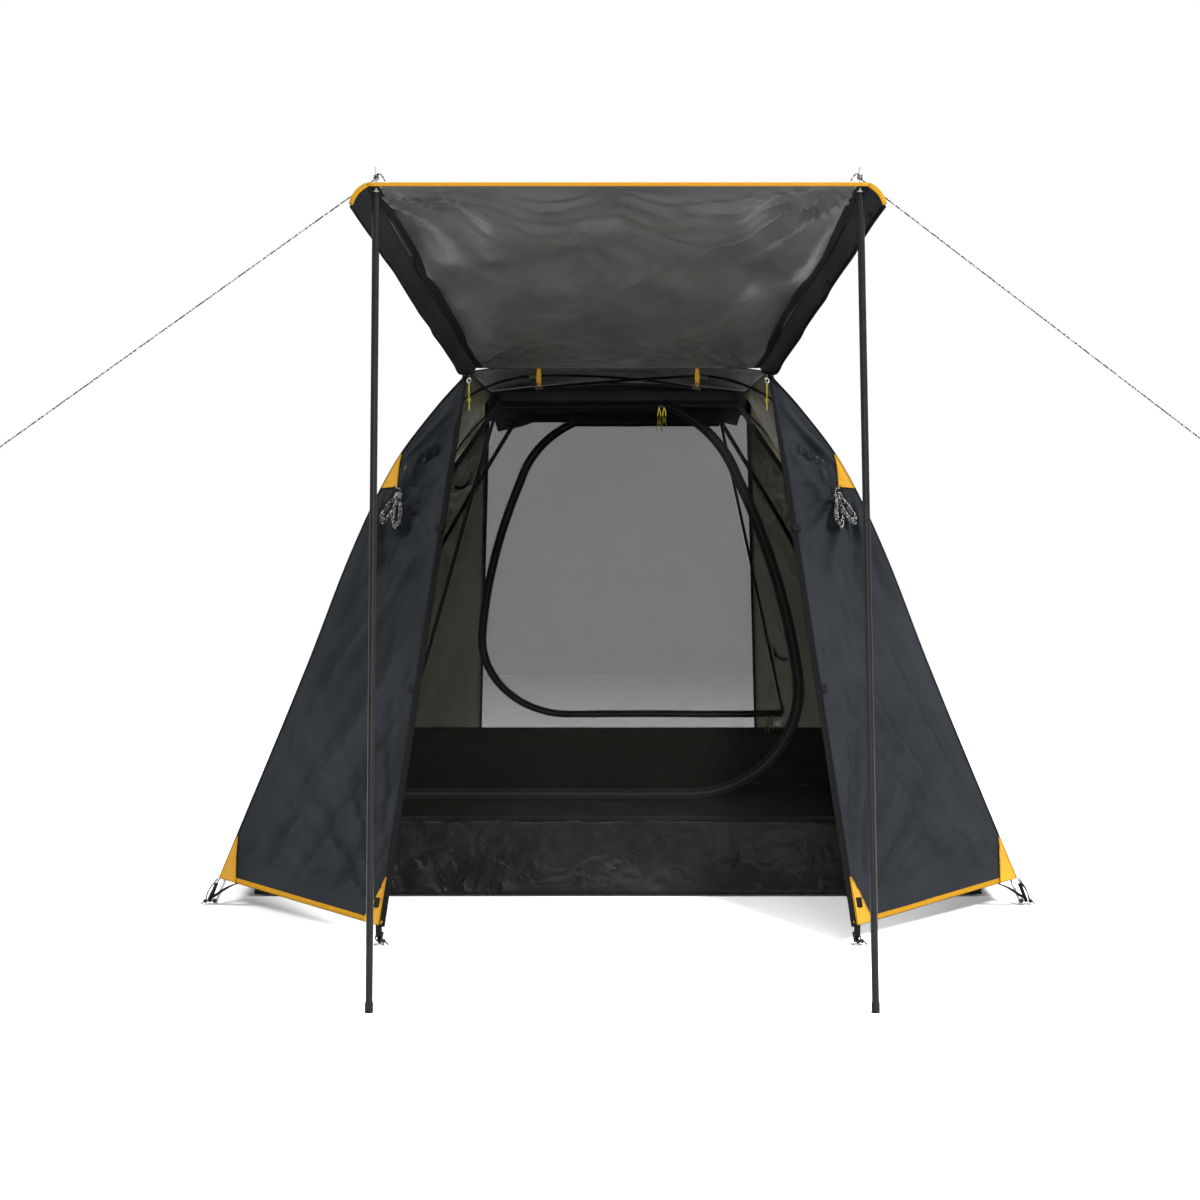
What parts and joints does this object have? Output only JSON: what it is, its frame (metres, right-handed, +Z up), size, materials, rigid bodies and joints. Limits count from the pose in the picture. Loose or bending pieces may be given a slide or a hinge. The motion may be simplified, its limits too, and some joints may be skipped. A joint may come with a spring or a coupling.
{
  "type": "dome tent",
  "caption": "Two-door dome tent with a mesh inner tent, a fly sheet, and its front fly door raised as an awning on steel uprights.",
  "frame": {"origin": "on the ground, under the middle of the outline without the guy lines", "axes": "+Z up, +X to the right seen from the raised door, -Y towards the raised door"},
  "size_m": [2.8463, 4.3508, 1.8501],
  "materials": {
    "fly_cloth": "coated plain weave, satin",
    "mesh": "fine see-through netting",
    "floor_cloth": "coated, glossy",
    "yellow_tape": "woven tape and cloth",
    "black_webbing": "ribbed webbing",
    "pole": "glass-fibre rod",
    "bright_metal": "plated",
    "black_plastic": "moulded",
    "black_tube": "powder coated",
    "rubber": "matt",
    "guy_cord": "braided, pale fleck"
  },
  "bodies": {
    "tent": {"tub_floor": "floor_cloth", "tub_walls": "floor_cloth", "inner_wall_front": "mesh", "inner_wall_rear": "mesh", "inner_wall_left": "mesh", "inner_wall_right": "mesh", "inner_roof": "mesh", "pole_leg_front_left": "pole", "pole_leg_front_right": "pole", "pole_leg_rear_left": "pole", "pole_leg_rear_right": "pole", "pole_shoulders": "pole", "pole_roof_a": "pole", "pole_roof_b": "pole", "pole_ferrules": "bright_metal", "pole_tips": "bright_metal", "apex_clip": "black_plastic", "pole_clips": "black_plastic", "fly_roof": "fly_cloth", "fly_side_left": "fly_cloth", "fly_side_right": "fly_cloth", "fly_vestibule_front_left": "fly_cloth", "fly_vestibule_front_right": "fly_cloth", "fly_vestibule_rear_left": "fly_cloth", "fly_vestibule_rear_right": "fly_cloth", "rear_door_roll": "fly_cloth", "hem_binding": "yellow_tape", "corner_patches": "yellow_tape", "stake_patches": "yellow_tape", "guy_patches": "yellow_tape", "peg_rings": "bright_metal", "pegging_straps": "black_webbing", "guy_hank_left": "guy_cord", "guy_hank_right": "guy_cord"},
    "awning": {"awning_panel": "fly_cloth", "awning_binding": "yellow_tape", "awning_flaps": "fly_cloth", "awning_grommets": "bright_metal"},
    "upright_left": {"upright_left_lower": "black_tube", "upright_left_middle": "black_tube", "upright_left_upper": "black_tube", "upright_left_spike": "bright_metal", "upright_left_foot": "rubber", "guy_line_left": "guy_cord", "guy_end_left": "guy_cord"},
    "guy_runner_left": {"guy_runner_left": "black_plastic"},
    "zip_slider_left": {"zip_slider_left": "black_plastic"},
    "tie_toggle_left": {"tie_toggle_left": "yellow_tape"},
    "upright_right": {"upright_right_lower": "black_tube", "upright_right_middle": "black_tube", "upright_right_upper": "black_tube", "upright_right_spike": "bright_metal", "upright_right_foot": "rubber", "guy_line_right": "guy_cord", "guy_end_right": "guy_cord"},
    "guy_runner_right": {"guy_runner_right": "black_plastic"},
    "zip_slider_right": {"zip_slider_right": "black_plastic"},
    "tie_toggle_right": {"tie_toggle_right": "yellow_tape"},
    "door_front": {"inner_door_front": "mesh"},
    "door_rear": {"inner_door_rear": "mesh"}
  },
  "joints": [
    {"name": "awning_swing", "type": "hinge", "parent": "tent", "child": "awning", "pos_m": [0, -0.217, 1.541], "axis": [1, 0, 0], "range_deg": [0, 57]},
    {"name": "upright_left_fall", "type": "hinge", "parent": "tent", "child": "upright_left", "pos_m": [-0.543, -2.162, 0], "axis": [1, 0, 0], "range_deg": [0, 85.5]},
    {"name": "upright_right_fall", "type": "hinge", "parent": "tent", "child": "upright_right", "pos_m": [0.562, -2.162, 0], "axis": [1, 0, 0], "range_deg": [0, 85.5]},
    {"name": "guy_runner_left_slide", "type": "slide", "parent": "upright_left", "child": "guy_runner_left", "axis": [0.8139, 0, 0.581], "range_m": [0, 0.8]},
    {"name": "guy_runner_right_slide", "type": "slide", "parent": "upright_right", "child": "guy_runner_right", "axis": [-0.7944, 0, 0.6073], "range_m": [0, 0.8]},
    {"name": "zip_left_slide", "type": "slide", "parent": "tent", "child": "zip_slider_left", "axis": [-0.0612, -0.6405, -0.7655], "range_m": [0, 1.82]},
    {"name": "zip_right_slide", "type": "slide", "parent": "tent", "child": "zip_slider_right", "axis": [0.0612, -0.6405, -0.7655], "range_m": [0, 1.82]},
    {"name": "tie_toggle_left_swing", "type": "hinge", "parent": "tent", "child": "tie_toggle_left", "pos_m": [-0.25, -0.205, 1.545], "axis": [1, 0, 0], "range_deg": [-60, 60]},
    {"name": "tie_toggle_right_swing", "type": "hinge", "parent": "tent", "child": "tie_toggle_right", "pos_m": [0.25, -0.205, 1.545], "axis": [1, 0, 0], "range_deg": [-60, 60]},
    {"name": "inner_door_front_swing", "type": "hinge", "parent": "tent", "child": "door_front", "pos_m": [-0.655, -0.78889, 0.2773], "axis": [0.2146, 0.4312, 0.8764], "range_deg": [0, 75]},
    {"name": "inner_door_rear_swing", "type": "hinge", "parent": "tent", "child": "door_rear", "pos_m": [0.655, 1.44489, 0.2773], "axis": [-0.2146, -0.4312, 0.8764], "range_deg": [0, 75]}
  ],
  "couplings": [
    {"joint": "upright_left_fall", "follows": "awning_swing", "ratio": 1.5},
    {"joint": "upright_right_fall", "follows": "awning_swing", "ratio": 1.5}
  ]
}
